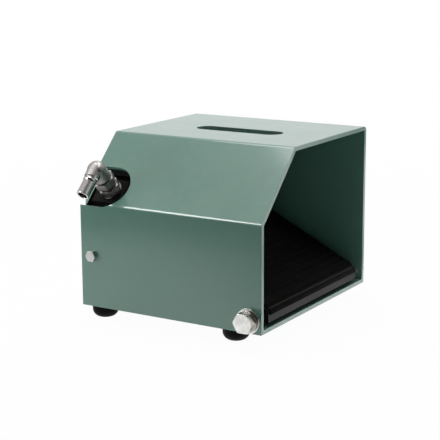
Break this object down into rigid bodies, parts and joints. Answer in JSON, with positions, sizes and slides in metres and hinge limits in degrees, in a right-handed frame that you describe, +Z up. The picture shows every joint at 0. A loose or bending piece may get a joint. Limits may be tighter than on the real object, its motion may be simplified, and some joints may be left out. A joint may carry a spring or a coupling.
{
  "type": "foot pedal valve",
  "caption": "Guarded foot pedal that presses a sprung plunger in a hydraulic valve, with an elbow port through the guard's notch and rubber feet.",
  "frame": {"origin": "middle of the whole part's footprint, on the surface the feet stand on", "axes": "+X across to the operator's right, +Y away from the operator towards the guard's rear, +Z up"},
  "size_m": [0.2582, 0.221, 0.1796],
  "materials": {
    "guard_paint": "satin grey-green enamel on folded steel sheet",
    "pedal_black": "semi-gloss black enamel on steel",
    "valve_black": "black oxide on machined blocks",
    "mat_rubber": "matt moulded rubber with ribs",
    "foot_rubber": "smooth moulded rubber",
    "seal_rubber": "nitrile seal",
    "hinge_steel": "bright zinc plate",
    "zinc_screws": "bright zinc plate",
    "dark_screws": "black oxide",
    "fitting_zinc": "nickel-bright zinc plate on forged steel",
    "seal_washer": "bonded seal, steel with a rubber lip",
    "bronze": "turned bearing bronze",
    "ground_steel": "ground and hardened",
    "spring_steel": "drawn wire"
  },
  "bodies": {
    "guard": {"guard_shell": "guard_paint", "floor_plate": "guard_paint", "rear_panel": "guard_paint", "panel_bolt_left": "zinc_screws", "panel_bolt_right": "zinc_screws", "panel_nut_left": "zinc_screws", "panel_nut_right": "zinc_screws", "foot_front_left": "foot_rubber", "foot_front_right": "foot_rubber", "foot_rear_left": "foot_rubber", "foot_rear_right": "foot_rubber", "foot_screw_front_left": "zinc_screws", "foot_screw_front_right": "zinc_screws", "foot_screw_rear_left": "zinc_screws", "foot_screw_rear_right": "zinc_screws", "hinge_bolt": "hinge_steel", "hinge_lock_washer": "hinge_steel", "hinge_washer_left": "hinge_steel", "hinge_washer_right": "hinge_steel", "hinge_nut": "hinge_steel", "hinge_spacer_left": "hinge_steel", "hinge_spacer_right": "hinge_steel", "valve_body": "valve_black", "port_block": "valve_black", "block_screw_left": "dark_screws", "block_screw_right": "dark_screws", "upper_o_ring": "seal_rubber", "lower_o_ring": "seal_rubber", "gland": "bronze", "rod_seal": "seal_rubber", "return_spring": "spring_steel", "bottom_plug": "dark_screws", "riser_plug": "dark_screws", "gallery_plug": "dark_screws", "base_screw_1": "dark_screws", "base_screw_2": "dark_screws", "base_screw_3": "dark_screws", "base_screw_4": "dark_screws", "stop_bolt": "zinc_screws", "stop_nut": "zinc_screws", "keeper": "valve_black", "keeper_pad": "mat_rubber", "keeper_screw": "dark_screws", "port_adapter": "fitting_zinc", "port_seal": "seal_washer", "swivel_nut": "fitting_zinc", "elbow": "fitting_zinc", "outlet_adapter": "fitting_zinc", "outlet_seal": "seal_washer"},
    "pedal": {"pedal_plate": "pedal_black", "hinge_tube": "pedal_black", "tread_mat": "mat_rubber", "pedal_rib_left": "pedal_black", "pedal_rib_right": "pedal_black"},
    "plunger": {"plunger": "ground_steel", "spool": "ground_steel"}
  },
  "joints": [
    {"name": "pedal_hinge", "type": "hinge", "parent": "guard", "child": "pedal", "pos_m": [0.00963, -0.0972, 0.0268], "axis": [-1, 0, 0], "range_deg": [0, 4.5]},
    {"name": "plunger_slide", "type": "slide", "parent": "guard", "child": "plunger", "axis": [0, 0, -1], "range_m": [0, 0.0111], "stiffness_N_per_m": 6000, "springref_m": -0.012, "deforming": ["return_spring"]}
  ],
  "couplings": [
    {"joint": "plunger_slide", "follows": "pedal_hinge", "m_per_rad": 0.139}
  ]
}
